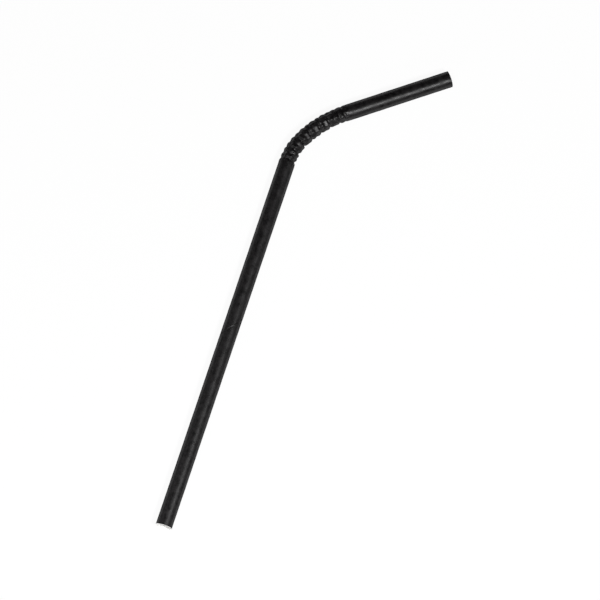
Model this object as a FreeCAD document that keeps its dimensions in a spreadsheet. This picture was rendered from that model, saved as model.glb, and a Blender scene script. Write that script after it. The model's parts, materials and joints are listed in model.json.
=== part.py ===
import FreeCAD, Part
import os
import Sketcher

# Bendy paper straw, lying flat on z = 0 as it comes to rest.
# It is one glued tube wound from paper strip: a long foot leg along +Y, a crimped neck
# that swings it round towards +X, and a short mouth leg. One piece, no joints.

# driving sizes, in mm and degrees
SIZES = [
    ("tube_diameter", 6.0),    # outside of the tube
    ("wall", 0.4),             # three plies of paper, glued
    ("foot_leg", 140.4),       # plain length that stands in the drink
    ("mouth_leg", 40.2),       # plain length held by the lips
    ("groove_pitch", 2.09),    # from one crimped groove to the next, along the tube's middle
    ("groove_depth", 0.45),    # how far a groove's bottom lies below its crests
    ("tight_grooves", 5),      # grooves in the sharply bent start of the neck
    ("easy_grooves", 9),       # grooves in the gently bent rest of it
    ("tight_turn", 27.0),      # turn made by the sharply bent start
    ("easy_turn", 25.0),       # turn made by the rest
]

# sizes worked out from the driving ones
WORKED_OUT = [
    ("tube_radius", "=tube_diameter / 2"),
    ("tight_step", "=tight_turn / tight_grooves"),
    ("easy_step", "=easy_turn / easy_grooves"),
    ("full_turn", "=tight_turn + easy_turn"),
    ("tight_radius", "=groove_pitch * 180 / (pi * tight_step)"),
    ("easy_radius", "=groove_pitch * 180 / (pi * easy_step)"),
    ("tight_middle_x", "=tight_radius"),
    ("tight_middle_y", "=foot_leg"),
    ("easy_middle_x", "=tight_middle_x + (easy_radius - tight_radius) * cos(tight_turn)"),
    ("easy_middle_y", "=tight_middle_y - (easy_radius - tight_radius) * sin(tight_turn)"),
    ("neck_end_x", "=easy_middle_x - easy_radius * cos(full_turn)"),
    ("neck_end_y", "=easy_middle_y + easy_radius * sin(full_turn)"),
    ("mouth_x", "=neck_end_x + mouth_leg * sin(full_turn)"),
    ("mouth_y", "=neck_end_y + mouth_leg * cos(full_turn)"),
    ("middle_x", "=(mouth_x + tube_radius * cos(full_turn) - tube_radius) / 2"),
    ("middle_y", "=(mouth_y + tube_radius * sin(full_turn)) / 2"),
]

# one groove from crest to crest: (share of the pitch, share of the groove's depth)
GROOVE_PROFILE = [(0.0, 0.0), (0.16, 0.04), (0.35, 0.5), (0.5, 1.0), (0.65, 0.5), (0.84, 0.04), (1.0, 0.0)]


def write_sheet(doc):
    sheet = doc.addObject("Spreadsheet::Sheet", "sizes")
    for row, (alias, value) in enumerate(SIZES + WORKED_OUT, start=1):
        sheet.set("A%d" % row, alias)
        sheet.set("B%d" % row, str(value))
        sheet.setAlias("B%d" % row, alias)
    doc.recompute()
    return sheet


def origin_plane(body, role):
    return next(plane for plane in body.Origin.OriginFeatures if plane.Role == role)


def sketch_across(body, name, x, y, turn):
    """Sketch square to the tube's middle line at (x, y), where the tube has turned by turn."""
    sketch = body.newObject("Sketcher::SketchObject", name)
    sketch.AttachmentSupport = (origin_plane(body, "XZ_Plane"), [""])
    sketch.MapMode = "FlatFace"
    sketch.AttachmentOffset = FreeCAD.Placement(
        FreeCAD.Vector(0, 0, 0), FreeCAD.Rotation(FreeCAD.Vector(0, 1, 0), 1))
    sketch.setExpression("AttachmentOffset.Base.x", x)
    sketch.setExpression("AttachmentOffset.Base.y", "sizes.tube_radius")
    sketch.setExpression("AttachmentOffset.Base.z", "-(%s)" % y)
    sketch.setExpression("AttachmentOffset.Rotation.Angle", "-(%s)" % turn)
    return sketch


def add_circle(sketch, name, radius):
    """Circle about the sketch's origin with its radius tied to an expression."""
    circle = sketch.addGeometry(
        Part.Circle(FreeCAD.Vector(0, 0, 0), FreeCAD.Vector(0, 0, 1), 1 + sketch.GeometryCount))
    sketch.addConstraint(Sketcher.Constraint("Coincident", circle, 3, -1, 1))
    size = sketch.addConstraint(Sketcher.Constraint("Radius", circle, 1 + circle))
    sketch.renameConstraint(size, name)
    sketch.setExpression("Constraints." + name, radius)


def ring(body, name, x, y, turn, sunk="0"):
    """Section of the paper wall, sunk below the plain tube by the given expression."""
    sketch = sketch_across(body, name, x, y, turn)
    add_circle(sketch, "inside", "sizes.tube_radius - sizes.wall - %s" % sunk)
    add_circle(sketch, "outside", "sizes.tube_radius - %s" % sunk)
    return sketch


def ring_on_bend(body, name, bend, turn, sunk="0"):
    """Ring on the tight or the easy bend, where the tube has turned by turn."""
    x = "sizes.%s_middle_x - sizes.%s_radius * cos(%s)" % (bend, bend, turn)
    y = "sizes.%s_middle_y + sizes.%s_radius * sin(%s)" % (bend, bend, turn)
    return ring(body, name, x, y, turn, sunk)


def straight_leg(body, name, section, length):
    leg = body.newObject("PartDesign::Pad", name)
    leg.Profile = section
    leg.setExpression("Length", length)
    leg.Reversed = True
    return leg


def groove(body, bend, start_turn):
    """One crimped groove, lofted from crest to crest through rings of the paper wall."""
    rings = []
    for number, (along, sunk) in enumerate(GROOVE_PROFILE):
        turn = "%s + %s * sizes.%s_step" % (start_turn, along, bend)
        rings.append(ring_on_bend(body, "%s_ring_%d" % (bend, number), bend, turn,
                                  "%s * sizes.groove_depth" % sunk))
    loft = body.newObject("PartDesign::AdditiveLoft", bend + "_groove")
    loft.Profile = rings[0]
    loft.Sections = rings[1:]
    return loft


def bend_axis(body, bend):
    """Sketch whose normal is the upright line the bend's grooves swing about."""
    sketch = body.newObject("Sketcher::SketchObject", bend + "_axis")
    sketch.AttachmentSupport = (origin_plane(body, "XY_Plane"), [""])
    sketch.MapMode = "FlatFace"
    sketch.setExpression("AttachmentOffset.Base.x", "sizes.%s_middle_x" % bend)
    sketch.setExpression("AttachmentOffset.Base.y", "sizes.%s_middle_y" % bend)
    return sketch


def repeat_groove(body, loft, bend):
    """Swing the groove round its bend, once for each groove of that bend."""
    pattern = body.newObject("PartDesign::PolarPattern", bend + "_grooves")
    pattern.Originals = [loft]
    pattern.Axis = (bend_axis(body, bend), ["N_Axis"])
    pattern.Reversed = True
    pattern.Mode = "Spacing"
    pattern.setExpression("Offset", "sizes.%s_step" % bend)
    pattern.setExpression("Occurrences", "sizes.%s_grooves" % bend)
    body.Tip = pattern
    return pattern


def check(doc):
    for item in doc.Objects:
        if "Invalid" in item.State or "Error" in item.State:
            raise RuntimeError("%s did not build: %s" % (item.Label, item.State))


def straw(doc):
    body = doc.addObject("PartDesign::Body", "straw")
    body.Label = "straw"
    doc.recompute()
    foot = ring(body, "foot_section", "0", "0", "0")
    straight_leg(body, "foot_leg", foot, "sizes.foot_leg")
    doc.recompute()
    tight = groove(body, "tight", "0")
    doc.recompute()
    repeat_groove(body, tight, "tight")
    doc.recompute()
    easy = groove(body, "easy", "sizes.tight_turn")
    doc.recompute()
    repeat_groove(body, easy, "easy")
    doc.recompute()
    mouth = ring_on_bend(body, "mouth_section", "easy", "sizes.full_turn")
    straight_leg(body, "mouth_leg", mouth, "sizes.mouth_leg")
    doc.recompute()
    body.setExpression("Placement.Base.x", "-sizes.middle_x")
    body.setExpression("Placement.Base.y", "-sizes.middle_y")
    doc.recompute()
    return body


doc = FreeCAD.newDocument("bendy_paper_straw")
write_sheet(doc)
piece = straw(doc)
check(doc)
if piece.Shape.isNull() or not piece.Shape.isValid() or len(piece.Shape.Solids) != 1:
    raise RuntimeError("the straw is not one sound solid")
os.makedirs("parts", exist_ok=True)
piece.Shape.exportStep("parts/straw.step")
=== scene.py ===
import json
import math

import bmesh
import bpy
import numpy as np
from bpy.props import FloatProperty, FloatVectorProperty, IntProperty, PointerProperty
from mathutils import Matrix, Vector, noise


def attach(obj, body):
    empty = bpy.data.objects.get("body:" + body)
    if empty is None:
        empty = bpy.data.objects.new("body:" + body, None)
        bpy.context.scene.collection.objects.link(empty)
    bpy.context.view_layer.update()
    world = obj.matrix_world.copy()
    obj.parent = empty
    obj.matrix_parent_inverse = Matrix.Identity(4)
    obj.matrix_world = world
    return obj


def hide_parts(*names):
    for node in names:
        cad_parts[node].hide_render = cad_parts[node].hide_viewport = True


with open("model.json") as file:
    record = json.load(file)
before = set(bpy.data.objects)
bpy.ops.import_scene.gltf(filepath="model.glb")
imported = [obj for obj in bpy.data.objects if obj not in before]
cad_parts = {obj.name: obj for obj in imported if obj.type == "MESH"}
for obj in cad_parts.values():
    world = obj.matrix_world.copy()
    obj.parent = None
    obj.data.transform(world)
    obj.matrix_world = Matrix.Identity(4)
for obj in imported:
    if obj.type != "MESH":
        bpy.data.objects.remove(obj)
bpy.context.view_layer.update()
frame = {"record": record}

bl_info = {
    "name": "Bendy paper straw",
    "version": (1, 0, 0),
    "blender": (4, 5, 0),
    "location": "3D View > Sidebar > Straw",
    "description": "A drinking straw wound from paper strip, with a crimped and bent neck",
    "category": "Add Mesh",
}

MM = 0.001
PIECE = "paper_tube"
DYED, BARE = 0, 1      # the piece's two papers, in the order of its materials
UNBENT = "unbent"      # where each point was before the tube was crimped and bent
SMOOTH_ANGLE = math.radians(50)


def mount(name):
    return next(m for m in frame["record"]["mounts"] if m["name"] == name)


FOOT = mount("foot_outside")
MOUTH = mount("mouth_outside")
BORE = mount("foot_bore")


class StrawSizes(bpy.types.PropertyGroup):
    """Sizes of the paper tube, its crimped neck and the wound strip"""

    radius: FloatProperty(
        name="Tube radius", description="Outside radius of the plain legs",
        default=FOOT["dims"]["r_mm"] * MM, unit="LENGTH")
    wall: FloatProperty(
        name="Paper wall", description="Thickness of the glued plies",
        default=(FOOT["dims"]["r_mm"] - BORE["dims"]["r_mm"]) * MM, unit="LENGTH")
    foot_leg: FloatProperty(
        name="Foot leg", description="Plain length that stands in the drink",
        default=FOOT["dims"]["length_mm"] * MM, unit="LENGTH")
    mouth_leg: FloatProperty(
        name="Mouth leg", description="Plain length held by the lips",
        default=MOUTH["dims"]["length_mm"] * MM, unit="LENGTH")
    tight_turn: FloatProperty(
        name="Tight turn", description="Turn made by the sharply bent start of the neck",
        default=math.radians(27.0), subtype="ANGLE")
    grooves: IntProperty(
        name="Grooves", description="Crimped grooves in the neck", default=14, min=2)
    groove_depth: FloatProperty(
        name="Groove depth", description="Depth of a groove below its crests",
        default=0.42 * MM, unit="LENGTH")
    facets: IntProperty(
        name="Facets", description="Flat facets pressed round each crest", default=8, min=3)
    flatness: FloatProperty(
        name="Flatness", description="How nearly flat the facets are, 1 for quite flat",
        default=1.0, min=0)
    facet_tilt: FloatProperty(
        name="Facet tilt", description="Largest slope of a facet along the tube",
        default=0.15, min=0)
    facet_press: FloatProperty(
        name="Facet press", description="How far a facet's middle may be pressed in",
        default=0.08 * MM, unit="LENGTH")
    crest_rise: FloatProperty(
        name="Crest rise", description="How far the crests stand above the plain tube",
        default=0.10 * MM, unit="LENGTH")
    zigzag: FloatProperty(
        name="Zigzag", description="How far a groove wanders along the tube",
        default=0.4 * MM, unit="LENGTH")
    crumple: FloatProperty(
        name="Crumple", description="Height of the soft crumples in the neck",
        default=0.03 * MM, unit="LENGTH")
    waviness: FloatProperty(
        name="Waviness", description="Height of the slow waves in the plain legs",
        default=0.032 * MM, unit="LENGTH")
    dye_depth: FloatProperty(
        name="Dye depth", description="How far the dye goes into the outer ply",
        default=0.03 * MM, unit="LENGTH")
    ply_gap: FloatProperty(
        name="Ply gap", description="Depth of the fine lines between the plies on a cut end",
        default=0.02 * MM, unit="LENGTH")
    strip_pitch: FloatProperty(
        name="Strip pitch", description="Length of tube in which the strip goes once round",
        default=22.0 * MM, unit="LENGTH")
    strip_start: FloatProperty(
        name="Strip start", description="Where round the foot end the strip's edge begins",
        default=math.radians(98.0), subtype="ANGLE")
    seam_depth: FloatProperty(
        name="Seam depth", description="Depth of the line where the strip's edges meet",
        default=0.08 * MM, unit="LENGTH")
    seam_lift: FloatProperty(
        name="Seam lift", description="How far one edge of the strip stands proud",
        default=0.03 * MM, unit="LENGTH")
    loosest: FloatProperty(
        name="Loosest seam", description="Height above the foot end where the seam is widest",
        default=77 * MM, unit="LENGTH")


class StrawColours(bpy.types.PropertyGroup):
    """Colours of the paper and the stage"""

    outer_paper: FloatVectorProperty(
        name="Outer paper", description="Dyed paper on the outside",
        default=(0.0062, 0.0055, 0.0059), size=3, subtype="COLOR", min=0, max=1)
    bare_paper: FloatVectorProperty(
        name="Bare paper", description="Undyed plies seen inside and on the cut ends",
        default=(0.92, 0.915, 0.90), size=3, subtype="COLOR", min=0, max=1)
    floor: FloatVectorProperty(
        name="Floor", description="Sheet that the straw lies on",
        default=(0.9, 0.9, 0.9), size=3, subtype="COLOR", min=0, max=1)


# ---------------------------------------------------------------- hand tools

def select_only(piece):
    bpy.ops.object.select_all(action="DESELECT")
    piece.select_set(True)
    bpy.context.view_layer.objects.active = piece


def edit(piece):
    select_only(piece)
    bpy.ops.object.mode_set(mode="EDIT")
    bpy.ops.mesh.select_all(action="DESELECT")


def done():
    bpy.ops.object.mode_set(mode="OBJECT")


def select_vertices(piece, wanted):
    """In edit mode, select the vertices whose place passes the test."""
    bpy.ops.mesh.select_mode(type="VERT")
    cage = bmesh.from_edit_mesh(piece.data)
    for vertex in cage.verts:
        vertex.select_set(wanted(vertex.co))
    cage.select_flush_mode()
    bmesh.update_edit_mesh(piece.data)


def apply_modifier(piece, kind, **settings):
    select_only(piece)
    modifier = piece.modifiers.new(kind.title(), kind)
    for key, value in settings.items():
        setattr(modifier, key, value)
    bpy.ops.object.modifier_apply(modifier=modifier.name)


def read_points(mesh):
    points = np.empty(len(mesh.vertices) * 3)
    mesh.vertices.foreach_get("co", points)
    return points.reshape(-1, 3)


def write_points(mesh, points):
    mesh.vertices.foreach_set("co", points.ravel())
    mesh.update()


def reach_of(vertex):
    """Distance of a vertex from the standing tube's middle line."""
    return math.hypot(vertex.co.x, vertex.co.y)


def scale_across(vertex, factor):
    vertex.co.x *= factor
    vertex.co.y *= factor


# ---------------------------------------------------------------- winding the tube

COLUMNS = 96               # points round the tube
LEG_RING = 0.9 * MM        # from ring to ring along a leg
NECK_RING = 0.14 * MM      # from ring to ring along the neck
NECK_MARGIN = 1.2 * MM     # length past each end of the neck that is made as finely
TOUCHING = 0.002 * MM      # points nearer to each other than this become one
SEAM_REACH = 1.2           # columns either side of the seam that its cut takes in
SEAM_MIDDLE = 0.1          # share of that reach within which a point is the seam's bottom
SEAM_EDGE = 0.7            # share of that reach out to which one edge is lifted


def neck_bends(sizes):
    """Lengths of the tight and the easy bend, and the easy bend's turn, from the legs' ends."""
    way = Vector(MOUTH["axis"])
    start = Vector(FOOT["pos_m"]) + Vector((0, sizes.foot_leg, 0))
    end = Vector(MOUTH["pos_m"]) - way * sizes.mouth_leg
    across, along = end.x - start.x, end.y - start.y
    full = math.atan2(way.x, way.y)
    tight = sizes.tight_turn
    # how far each bend carries the middle line across and along, for a radius of 1
    carried = np.array([
        [1 - math.cos(tight), math.cos(tight) - math.cos(full)],
        [math.sin(tight), math.sin(full) - math.sin(tight)],
    ])
    tight_radius, easy_radius = np.linalg.solve(carried, (across, along))
    easy = full - tight
    return tight_radius * tight, easy_radius * easy, easy


def strip_angle(sizes, height):
    """Direction, seen from the mouth end, of the strip's edge at a height of the tube."""
    return sizes.strip_start + 2 * math.pi * height / sizes.strip_pitch


def seam_ring(sizes, height):
    """Ring of the tube with a fine notch where the strip's edges meet."""
    bpy.ops.mesh.primitive_circle_add(
        vertices=COLUMNS, radius=sizes.radius, fill_type="NOTHING", location=(0, 0, 0))
    ring = bpy.context.active_object
    reach = SEAM_REACH * 2 * math.pi * sizes.radius / COLUMNS
    middle = SEAM_MIDDLE * reach
    seam = Vector((0, sizes.radius, 0))
    edit(ring)
    select_vertices(ring, lambda co: (co - seam).length < reach)
    bpy.ops.mesh.subdivide(number_cuts=1)
    select_vertices(ring, lambda co: (co - seam).length < middle)
    bpy.ops.transform.translate(value=(0, -sizes.seam_depth, 0))
    select_vertices(ring, lambda co: -SEAM_EDGE * reach < co.x < -middle and co.y > 0)
    bpy.ops.transform.translate(value=(0, sizes.seam_lift, 0))
    bpy.ops.mesh.select_all(action="SELECT")
    bpy.ops.transform.rotate(
        value=math.pi / 2 - strip_angle(sizes, height), orient_axis="Z",
        center_override=(0, 0, 0))
    bpy.ops.transform.translate(value=(0, 0, height))
    done()
    return ring


def wound_length(sizes, start, length, ring_gap):
    """Length of tube wound up from a ring, its columns running along the strip."""
    tube = seam_ring(sizes, start)
    steps = max(2, round(length / ring_gap))
    apply_modifier(
        tube, "SCREW", axis="Z", angle=2 * math.pi * length / sizes.strip_pitch,
        screw_offset=length, steps=steps, render_steps=steps, use_merge_vertices=False)
    return tube


def wound_tube(sizes, neck):
    """The whole standing tube, wound in three lengths that meet at the same columns."""
    foot = sizes.foot_leg - NECK_MARGIN
    crimped = neck + 2 * NECK_MARGIN
    lengths = [
        wound_length(sizes, 0, foot, LEG_RING),
        wound_length(sizes, foot, crimped, NECK_RING),
        wound_length(sizes, foot + crimped, sizes.mouth_leg - NECK_MARGIN, LEG_RING),
    ]
    bpy.ops.object.select_all(action="DESELECT")
    for length in lengths:
        length.select_set(True)
    tube = lengths[0]
    bpy.context.view_layer.objects.active = tube
    bpy.ops.object.join()
    edit(tube)
    bpy.ops.mesh.select_all(action="SELECT")
    bpy.ops.mesh.remove_doubles(threshold=TOUCHING)
    bpy.ops.mesh.normals_make_consistent(inside=False)
    done()
    tube.name = tube.data.name = PIECE
    return tube


# ---------------------------------------------------------------- crimping the neck

NECK_SEED = 22                 # settles how each fold falls
CROWDING = (0.1, 0.3)          # how far facets crowd together round the tube, in radians
PRESSED = (-0.3, 1)            # how far facets are pressed in, in shares of the facet press
DRIFT = (-0.1, 0.1)            # how far grooves stray along the tube, in shares of the pitch
GROOVE_DEPTHS = (0.85, 1.1)    # shares of the groove depth
BOTTOM_RANGE = (0.2, 0.8)      # where a groove's bottom may lie between its two crests
CREST_WIDTH = 0.15             # share of the way down to the bottom that stays a crest
# shares on the outside of the bend, and what is added to them on its inside
FACET_FLATNESS = (0.8, 0.5)
GROOVE_SHARE = (0.7, 0.6)
# on the inside of the bend, grooves are deeper and shallower by turns, by this share and by
# this much more where the pairing is strongest
PAIRING, PAIRING_GAIN = 0.3, 0.5
STRONGEST_AT = 4.4             # where the pairing is strongest, in grooves from the foot leg
STRONGEST_EVERY = 6.2          # grooves from there to the next such place
CRUMPLE_LENGTH = 1.8 * MM
SOFTEN_PASSES = 5

SEAM_FADE = 28 * MM            # length over which it closes, either side of its loosest place
SEAM_CLOSED = 0.2              # share of its depth that is left where it is tight
# waves left by winding: length, stretch along the tube, share of the waviness, seed
WAVES = ((1.5 * MM, 2, 1.0, 1), (1.3 * MM, 1, 0.4, 8))


def fraction(value):
    return value - np.floor(value)


def ease(value):
    """Carry 0 to 1 smoothly into itself, and clip what lies outside."""
    value = np.clip(value, 0, 1)
    return value * value * (3 - 2 * value)


def smooth_noise(points, length, seed):
    """Noise from -1 to 1 at each point, with features of about the given length."""
    shift = Vector((seed * 7.3, seed * 3.1, seed * 5.7))
    return np.array([noise.noise(Vector(p) / length + shift) for p in points])


def facet_placing(sizes, turn, draw):
    """Function that tells where the spots lie among the facets of a crest, counted in facets."""
    crowding = draw.uniform(*CROWDING, sizes.grooves + 1)
    phase = draw.uniform(0, 2 * math.pi, sizes.grooves + 1)

    def place(crest):
        shifted = turn + crowding[crest] * np.sin(2 * turn + phase[crest])
        # the facets of neighbouring crests lie half a facet apart
        return sizes.facets * shifted / (2 * math.pi) + crest / 2

    return place


def sag(sizes, place):
    """Depth of flat facets below the round crest they are pressed into."""
    across = (fraction(place) - 0.5) * 2 * math.pi / sizes.facets
    return sizes.radius * (1 - math.cos(math.pi / sizes.facets) / np.cos(across))


def crest_relief(sizes, step, pitch, inner_side, place, draw):
    """How far the faceted crests stand out from the plain tube."""
    crest = np.clip(np.round(step), 0, sizes.grooves).astype(int)
    where = place(crest)
    facet = np.floor(where).astype(int) % sizes.facets
    window = 1 - (2 * fraction(where) - 1) ** 2
    every = (sizes.grooves + 1, sizes.facets)
    tilt = draw.uniform(-1, 1, every)[crest, facet] * sizes.facet_tilt
    press = draw.uniform(*PRESSED, every)[crest, facet] * sizes.facet_press
    plain, added = FACET_FLATNESS
    flat = sizes.flatness * sag(sizes, where) * (plain + added * inner_side)
    return sizes.crest_rise - flat + window * (tilt * (step - crest) * pitch - press)


def groove_relief(sizes, step, pitch, inner_side, place, draw):
    """How far down the grooves' bottoms lie, and how near to one each spot is, from 0 to 1."""
    below = np.clip(np.floor(step), 0, sizes.grooves - 1).astype(int)
    drift = draw.uniform(*DRIFT, sizes.grooves)
    depth = draw.uniform(*GROOVE_DEPTHS, sizes.grooves)

    # a groove wanders towards whichever of its two crests is the flatter
    flatter = sag(sizes, place(below + 1)) - sag(sizes, place(below))
    wander = sizes.zigzag / pitch * flatter / sag(sizes, place(0)).max()
    middle = np.clip(0.5 + drift[below] + wander, *BOTTOM_RANGE)
    along = step - below
    near = np.clip(np.where(along < middle, along / middle, (1 - along) / (1 - middle)), 0, 1)
    sunk = ease((near - CREST_WIDTH) / (1 - CREST_WIDTH))

    swell = 0.5 + 0.5 * np.cos(2 * math.pi * (step - STRONGEST_AT) / STRONGEST_EVERY)
    deeper = (PAIRING + PAIRING_GAIN * swell) * inner_side * np.where(below % 2, -1, 1)
    plain, added = GROOVE_SHARE
    share = np.minimum(1, plain + added * inner_side)
    return -sizes.groove_depth * depth[below] * (1 + deeper) * share, sunk


def neck_relief(sizes, turn, height, neck, spots):
    """Radial moves that crimp the neck, for spots at a turn round it and a height along it."""
    draw = np.random.RandomState(NECK_SEED)
    pitch = neck / sizes.grooves
    step = height / pitch
    inner_side = 0.5 + 0.5 * np.cos(turn)
    place = facet_placing(sizes, turn, draw)
    top = crest_relief(sizes, step, pitch, inner_side, place, draw)
    bottom, sunk = groove_relief(sizes, step, pitch, inner_side, place, draw)
    pillows = sizes.crumple * smooth_noise(spots, CRUMPLE_LENGTH, NECK_SEED)
    # the folds die out over half a groove past each end of the neck
    fade = ease(2 * step + 1) * ease(2 * (sizes.grooves - step) + 1)
    return fade * (top * (1 - sunk) + bottom * sunk + pillows)


def crimp(tube, sizes, neck):
    """Crimp and crumple the neck, and leave the slow waves of wound paper in the legs."""
    points = read_points(tube.data)
    unbent = tube.data.attributes.new(UNBENT, "FLOAT_VECTOR", "POINT")
    unbent.data.foreach_set("vector", points.ravel())
    reach = np.hypot(points[:, 0], points[:, 1])
    turn = np.arctan2(points[:, 1], points[:, 0])
    height = points[:, 2] - sizes.foot_leg
    waves = sum(share * smooth_noise(points / (1, 1, stretch), length, seed)
                for length, stretch, share, seed in WAVES)
    near_loosest = ease(1 - np.abs(points[:, 2] - sizes.loosest) / SEAM_FADE)
    loose = SEAM_CLOSED + (1 - SEAM_CLOSED) * near_loosest
    moved = sizes.radius + (reach - sizes.radius) * loose + sizes.waviness * waves
    in_neck = (height > -NECK_MARGIN) & (height < neck + NECK_MARGIN)
    moved[in_neck] += neck_relief(sizes, turn[in_neck], height[in_neck], neck, points[in_neck])
    scale = moved / reach
    points[:, 0] *= scale
    points[:, 1] *= scale
    write_points(tube.data, points)


def soften(tube, sizes, neck):
    """Round off the folds of the neck, as soft paper does."""
    edit(tube)
    select_vertices(
        tube, lambda co: -NECK_MARGIN < co.z - sizes.foot_leg < neck + NECK_MARGIN)
    bpy.ops.mesh.vertices_smooth(factor=0.5, repeat=SOFTEN_PASSES)
    done()


# ---------------------------------------------------------------- wall, bend and lay down

RIM_CUTS = 5               # rings made between the outside and the inside of a cut end
DYE_RING = 1               # the ring, counted inwards, that is moved to where the dye ends
PLY_RINGS = (2, 4)         # the rings that lie where two plies meet
SAME_LEVEL = 0.01 * MM     # points this near to a cut end's height belong to it


def all_level(vertices, level):
    return all(abs(vertex.co.z - level) < SAME_LEVEL for vertex in vertices)


def give_wall(tube, sizes):
    """Copy the skin inwards by the paper's thickness and close the cut ends."""
    edit(tube)
    bpy.ops.mesh.select_all(action="SELECT")
    bpy.ops.mesh.duplicate()
    bpy.ops.mesh.flip_normals()
    cage = bmesh.from_edit_mesh(tube.data)
    for vertex in cage.verts:
        if vertex.select:
            scale_across(vertex, 1 - sizes.wall / reach_of(vertex))
    for face in cage.faces:
        face.material_index = BARE if face.select else DYED
    bmesh.update_edit_mesh(tube.data)
    top = max(vertex.co.z for vertex in cage.verts)
    close_end(tube, sizes, 0.0, 1)
    close_end(tube, sizes, top, -1)
    done()


def close_end(tube, sizes, level, inward):
    """Bridge the two skins at a cut end; inward is 1 or -1, the way into the tube along Z."""
    bpy.ops.mesh.select_all(action="DESELECT")
    bpy.ops.mesh.select_mode(type="EDGE")
    cage = bmesh.from_edit_mesh(tube.data)
    for edge in cage.edges:
        edge.select_set(edge.is_boundary and all_level(edge.verts, level))
    bmesh.update_edit_mesh(tube.data)
    bpy.ops.mesh.bridge_edge_loops(
        number_cuts=RIM_CUTS, interpolation="LINEAR", smoothness=0)
    cage = bmesh.from_edit_mesh(tube.data)
    shape_rim([face for face in cage.faces if all_level(face.verts, level)], sizes, inward)
    bmesh.update_edit_mesh(tube.data)


def shape_rim(rim, sizes, inward):
    """Sink the lines where the plies meet, and leave the dye a thin skin at the outer edge."""
    dyed_from = sizes.radius - sizes.dye_depth
    for face in rim:
        face.material_index = BARE
    for vertex in {vertex for face in rim for vertex in face.verts}:
        reach = reach_of(vertex)
        ring = round((sizes.radius - reach) / sizes.wall * (RIM_CUTS + 1))
        if ring == DYE_RING:
            scale_across(vertex, dyed_from / reach)
            for face in vertex.link_faces:
                middle = face.calc_center_median()
                if math.hypot(middle.x, middle.y) > dyed_from:
                    face.material_index = DYED
        elif ring in PLY_RINGS:
            vertex.co.z += inward * sizes.ply_gap


def bend(tube, start, length, angle):
    """Bend the standing tube towards +X over a length from the given height."""
    points = read_points(tube.data)
    points[:, 2] -= start
    write_points(tube.data, points)
    low, high = points[:, 2].min(), points[:, 2].max()
    limits = ((0 - low) / (high - low), (length - low) / (high - low))
    apply_modifier(tube, "SIMPLE_DEFORM", deform_method="BEND", deform_axis="Y",
                   angle=angle, limits=limits)
    points = read_points(tube.data)
    points[:, 2] += start
    write_points(tube.data, points)


def lay_down(tube):
    """Lay the standing tube down along +Y, with its foot end where the foot mount is."""
    turned = Matrix.Rotation(-math.pi / 2, 4, "X")
    tube.data.transform(Matrix.Translation(FOOT["pos_m"]) @ turned)


class STRAW_OT_tube(bpy.types.Operator):
    """Wind, crimp and bend the paper tube"""

    bl_idname = "straw.tube"
    bl_label = "Paper tube"

    def execute(self, context):
        sizes = context.scene.straw_sizes
        tight_length, easy_length, easy_turn = neck_bends(sizes)
        neck = tight_length + easy_length
        tube = wound_tube(sizes, neck)
        colours = context.scene.straw_colours
        tube.data.materials.append(dyed_paper(colours))
        tube.data.materials.append(bare_paper(colours))
        crimp(tube, sizes, neck)
        soften(tube, sizes, neck)
        give_wall(tube, sizes)
        bend(tube, sizes.foot_leg + tight_length, easy_length, easy_turn)
        bend(tube, sizes.foot_leg, tight_length, sizes.tight_turn)
        lay_down(tube)
        select_only(tube)
        bpy.ops.object.shade_smooth_by_angle(angle=SMOOTH_ANGLE)
        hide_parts("straw")
        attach(tube, "root")
        return {"FINISHED"}


# ---------------------------------------------------------------- papers

# noise patterns in the paper: features in a metre, detail, roughness
GRAIN = (3200, 4, 0.6)
FIBRE = (1500, 4, 0.6)
BLOTCHES = (850, 2, 0.5)
CLOUDS = (430, 2, 0.5)
NOISE_MIDDLE = (0.35, 0.65)    # the range that noise keeps to for the most part

# darkest and palest places, in shares of the paper's colour
DYE_TONES = (0.4, 1.6)
BARE_TONES = (0.96, 1.03)

DYED_ROUGHNESS = (0.3, 0.45)
SLANT = (0.4, 0.8)             # how far the surface leans away as its gloss fades
SLANT_ROUGHNESS = (0.0, 0.6)   # roughness that is added over that range

# sockets of a Mix node that is set to mix colours
MIX_SHARE, MIX_FIRST, MIX_SECOND, MIX_RESULT = 0, 6, 7, 2


def node(tree, kind, **values):
    """New node, with its inputs and settings given by name."""
    made = tree.nodes.new(kind)
    for key, value in values.items():
        if key in made.inputs:
            made.inputs[key].default_value = value
        else:
            setattr(made, key, value)
    return made


def new_material(name):
    material = bpy.data.materials.new(name)
    material.use_nodes = True
    tree = material.node_tree
    return material, tree, tree.nodes["Principled BSDF"]


def paper_noise(tree, place, pattern):
    scale, detail, roughness = pattern
    made = node(tree, "ShaderNodeTexNoise", Scale=scale, Detail=detail, Roughness=roughness)
    tree.links.new(place.outputs["Vector"], made.inputs["Vector"])
    return made.outputs["Fac"]


def map_range(tree, value, source, target, **settings):
    """Socket with a value carried from one range into another."""
    made = node(tree, "ShaderNodeMapRange", **settings)
    for name, end in zip(("From Min", "From Max", "To Min", "To Max"), source + target):
        made.inputs[name].default_value = end
    tree.links.new(value, made.inputs["Value"])
    return made.outputs["Result"]


def two_tone(tree, share, colour, tones):
    """Socket with a colour that varies between two shares of itself."""
    mix = node(tree, "ShaderNodeMix", data_type="RGBA")
    for socket, tone in zip((MIX_FIRST, MIX_SECOND), tones):
        mix.inputs[socket].default_value = (*[min(1, c * tone) for c in colour], 1)
    tree.links.new(share, mix.inputs[MIX_SHARE])
    return mix.outputs[MIX_RESULT]


def add_bump(tree, shader, height, strength, distance):
    bump = node(tree, "ShaderNodeBump", Strength=strength, Distance=distance)
    tree.links.new(height, bump.inputs["Height"])
    tree.links.new(bump.outputs["Normal"], shader.inputs["Normal"])


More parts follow.
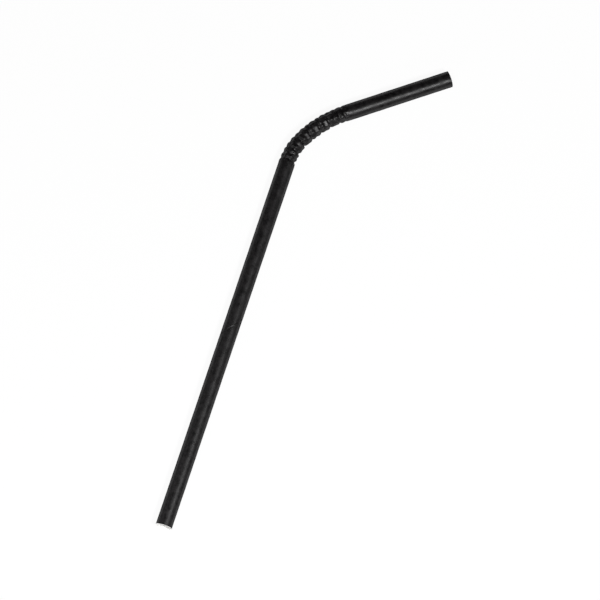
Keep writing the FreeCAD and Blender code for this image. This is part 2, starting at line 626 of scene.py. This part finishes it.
def dyed_paper(colours):
    """Black dyed paper, blotchy close up, with a faint satin gloss."""
    material, tree, shader = new_material("dyed_paper")
    place = node(tree, "ShaderNodeAttribute", attribute_name=UNBENT)
    blotches = map_range(tree, paper_noise(tree, place, BLOTCHES), NOISE_MIDDLE, (0.0, 1.0))
    tree.links.new(two_tone(tree, blotches, colours.outer_paper, DYE_TONES),
                   shader.inputs["Base Color"])
    rough = map_range(tree, paper_noise(tree, place, CLOUDS), NOISE_MIDDLE, DYED_ROUGHNESS)
    slant = node(tree, "ShaderNodeLayerWeight", Blend=0.5)
    duller = map_range(tree, slant.outputs["Facing"], SLANT, SLANT_ROUGHNESS,
                       interpolation_type="SMOOTHSTEP")
    blur = node(tree, "ShaderNodeMath", operation="ADD", use_clamp=True)
    tree.links.new(rough, blur.inputs[0])
    tree.links.new(duller, blur.inputs[1])
    tree.links.new(blur.outputs[0], shader.inputs["Roughness"])
    shader.inputs["Specular IOR Level"].default_value = 0.28
    add_bump(tree, shader, paper_noise(tree, place, GRAIN), 1.0, 0.05 * MM)
    return material


def bare_paper(colours):
    """Undyed paper of the inner plies, soft and fibrous."""
    material, tree, shader = new_material("bare_paper")
    place = node(tree, "ShaderNodeAttribute", attribute_name=UNBENT)
    fibre = paper_noise(tree, place, FIBRE)
    tree.links.new(two_tone(tree, fibre, colours.bare_paper, BARE_TONES),
                   shader.inputs["Base Color"])
    shader.inputs["Roughness"].default_value = 0.85
    shader.inputs["Specular IOR Level"].default_value = 0.25
    add_bump(tree, shader, fibre, 0.15, 0.02 * MM)
    return material


# ---------------------------------------------------------------- stage

# which way the camera's right, top and back point
CAMERA_RIGHT = Vector((0.94383, 0.31138, 0.11059))
CAMERA_UP = Vector((-0.32795, 0.92368, 0.19814))
CAMERA_BACK = Vector((-0.04044, -0.22328, 0.97391))
CAMERA_DISTANCE = 2.915
FRAME_WIDTH = 215.04 * MM                       # width of the view where the straw lies
FRAME_SHIFT = (-2.3195 * MM, -0.2995 * MM)      # middle of the view, to the right and up
FLOOR_SIZE = 6
FLOOR_GLOW = 0.93                               # share of plain white in how the floor is seen
ROOM_LIGHT = 0.01
# name, direction from the straw, distance, width and length of the panel in m, power in W
LAMPS = (
    ("key_softbox", (0.394, -0.211, 0.895), 0.7, (0.14, 0.14), 3.9),
    ("foot_panel", (-0.05, -0.2, 0.6), 0.6, (0.2, 0.2), 0.85),
    ("left_panel", (-0.36, -0.10, 0.40), 0.5, (0.3, 0.2), 0.12),
    ("low_left_panel", (-0.36, -0.06, 0.22), 0.43, (0.3, 0.15), 0.11),
    ("low_right_panel", (0.36, 0.16, 0.22), 0.43, (0.3, 0.15), 0.087),
    ("end_panel", (-0.03, -0.45, 0.2), 0.45, (0.15, 0.1), 0.55),
)


def seen_by(tree, first, *others):
    """Socket that is 1 for any of the given kinds of ray, and 0 for the rest."""
    path = node(tree, "ShaderNodeLightPath")
    seen = path.outputs[first]
    for ray in others:
        either = node(tree, "ShaderNodeMath", operation="MAXIMUM")
        tree.links.new(seen, either.inputs[0])
        tree.links.new(path.outputs[ray], either.inputs[1])
        seen = either.outputs[0]
    return seen


def floor_material(colours):
    """Pale sheet that looks nearly white, in reflections too, and keeps a faint shadow."""
    material, tree, shader = new_material("floor_sheet")
    link = tree.links.new
    shader.inputs["Base Color"].default_value = (*colours.floor, 1)
    shader.inputs["Roughness"].default_value = 0.9
    shader.inputs["Specular IOR Level"].default_value = 0.1
    glow = node(tree, "ShaderNodeEmission", Strength=1.0)
    seen = seen_by(tree, "Is Camera Ray", "Is Glossy Ray", "Is Transmission Ray")
    share = node(tree, "ShaderNodeMath", operation="MULTIPLY")
    share.inputs[1].default_value = FLOOR_GLOW
    mix = node(tree, "ShaderNodeMixShader")
    link(seen, share.inputs[0])
    link(share.outputs[0], mix.inputs[0])
    link(shader.outputs[0], mix.inputs[1])
    link(glow.outputs[0], mix.inputs[2])
    link(mix.outputs[0], tree.nodes["Material Output"].inputs["Surface"])
    material.cycles.emission_sampling = "NONE"
    return material


def dim_room():
    """Dim room round the stage, that shows as a plain white wall behind it."""
    world = bpy.data.worlds.new("room")
    world.use_nodes = True
    tree = world.node_tree
    room = tree.nodes["Background"]
    room.inputs["Color"].default_value = (1, 1, 1, 1)
    room.inputs["Strength"].default_value = ROOM_LIGHT
    wall = node(tree, "ShaderNodeBackground", Color=(1, 1, 1, 1), Strength=1.0)
    mix = node(tree, "ShaderNodeMixShader")
    tree.links.new(seen_by(tree, "Is Camera Ray", "Is Transmission Ray"), mix.inputs[0])
    tree.links.new(room.outputs[0], mix.inputs[1])
    tree.links.new(wall.outputs[0], mix.inputs[2])
    tree.links.new(mix.outputs[0], tree.nodes["World Output"].inputs["Surface"])
    return world


def softbox(name, way, distance, size, power):
    """Soft panel of light that faces the middle of the straw."""
    light = bpy.data.lights.new(name, "AREA")
    light.shape = "RECTANGLE"
    light.size, light.size_y = size
    light.energy = power
    lamp = bpy.data.objects.new(name, light)
    way = Vector(way).normalized()
    lamp.location = way * distance
    lamp.rotation_euler = way.to_track_quat("Z", "Y").to_euler()
    bpy.context.scene.collection.objects.link(lamp)


def add_camera(scene):
    camera = bpy.data.objects.new("camera", bpy.data.cameras.new("camera"))
    turn = Matrix((CAMERA_RIGHT, CAMERA_UP, CAMERA_BACK)).transposed().to_4x4()
    centre = CAMERA_RIGHT * FRAME_SHIFT[0] + CAMERA_UP * FRAME_SHIFT[1]
    camera.matrix_world = Matrix.Translation(centre + CAMERA_BACK * CAMERA_DISTANCE) @ turn
    camera.data.lens = camera.data.sensor_width * CAMERA_DISTANCE / FRAME_WIDTH
    scene.collection.objects.link(camera)
    scene.camera = camera


class STRAW_OT_stage(bpy.types.Operator):
    """Add the floor, the lamps and the camera"""

    bl_idname = "straw.stage"
    bl_label = "Stage"

    def execute(self, context):
        scene = context.scene
        bpy.ops.object.select_all(action="DESELECT")
        bpy.ops.mesh.primitive_plane_add(size=FLOOR_SIZE, location=(0, 0, 0))
        floor = context.active_object
        floor.name = "floor"
        floor.data.materials.append(floor_material(scene.straw_colours))
        for lamp in LAMPS:
            softbox(*lamp)
        scene.world = dim_room()
        scene.view_settings.view_transform = "Standard"
        add_camera(scene)
        return {"FINISHED"}


class STRAW_PT_panel(bpy.types.Panel):
    """Sizes, colours and steps of the straw"""

    bl_label = "Bendy straw"
    bl_idname = "STRAW_PT_panel"
    bl_space_type = "VIEW_3D"
    bl_region_type = "UI"
    bl_category = "Straw"

    def draw(self, context):
        for settings in (context.scene.straw_sizes, context.scene.straw_colours):
            for key in settings.__annotations__:
                self.layout.prop(settings, key)
        self.layout.operator(STRAW_OT_tube.bl_idname)
        self.layout.operator(STRAW_OT_stage.bl_idname)


CLASSES = (StrawSizes, StrawColours, STRAW_OT_tube, STRAW_OT_stage, STRAW_PT_panel)


def register():
    for item in CLASSES:
        bpy.utils.register_class(item)
    bpy.types.Scene.straw_sizes = PointerProperty(type=StrawSizes)
    bpy.types.Scene.straw_colours = PointerProperty(type=StrawColours)


def unregister():
    del bpy.types.Scene.straw_colours
    del bpy.types.Scene.straw_sizes
    for item in reversed(CLASSES):
        bpy.utils.unregister_class(item)


def main():
    register()
    bpy.ops.straw.tube()
    bpy.ops.straw.stage()


if __name__ == "__main__":
    main()
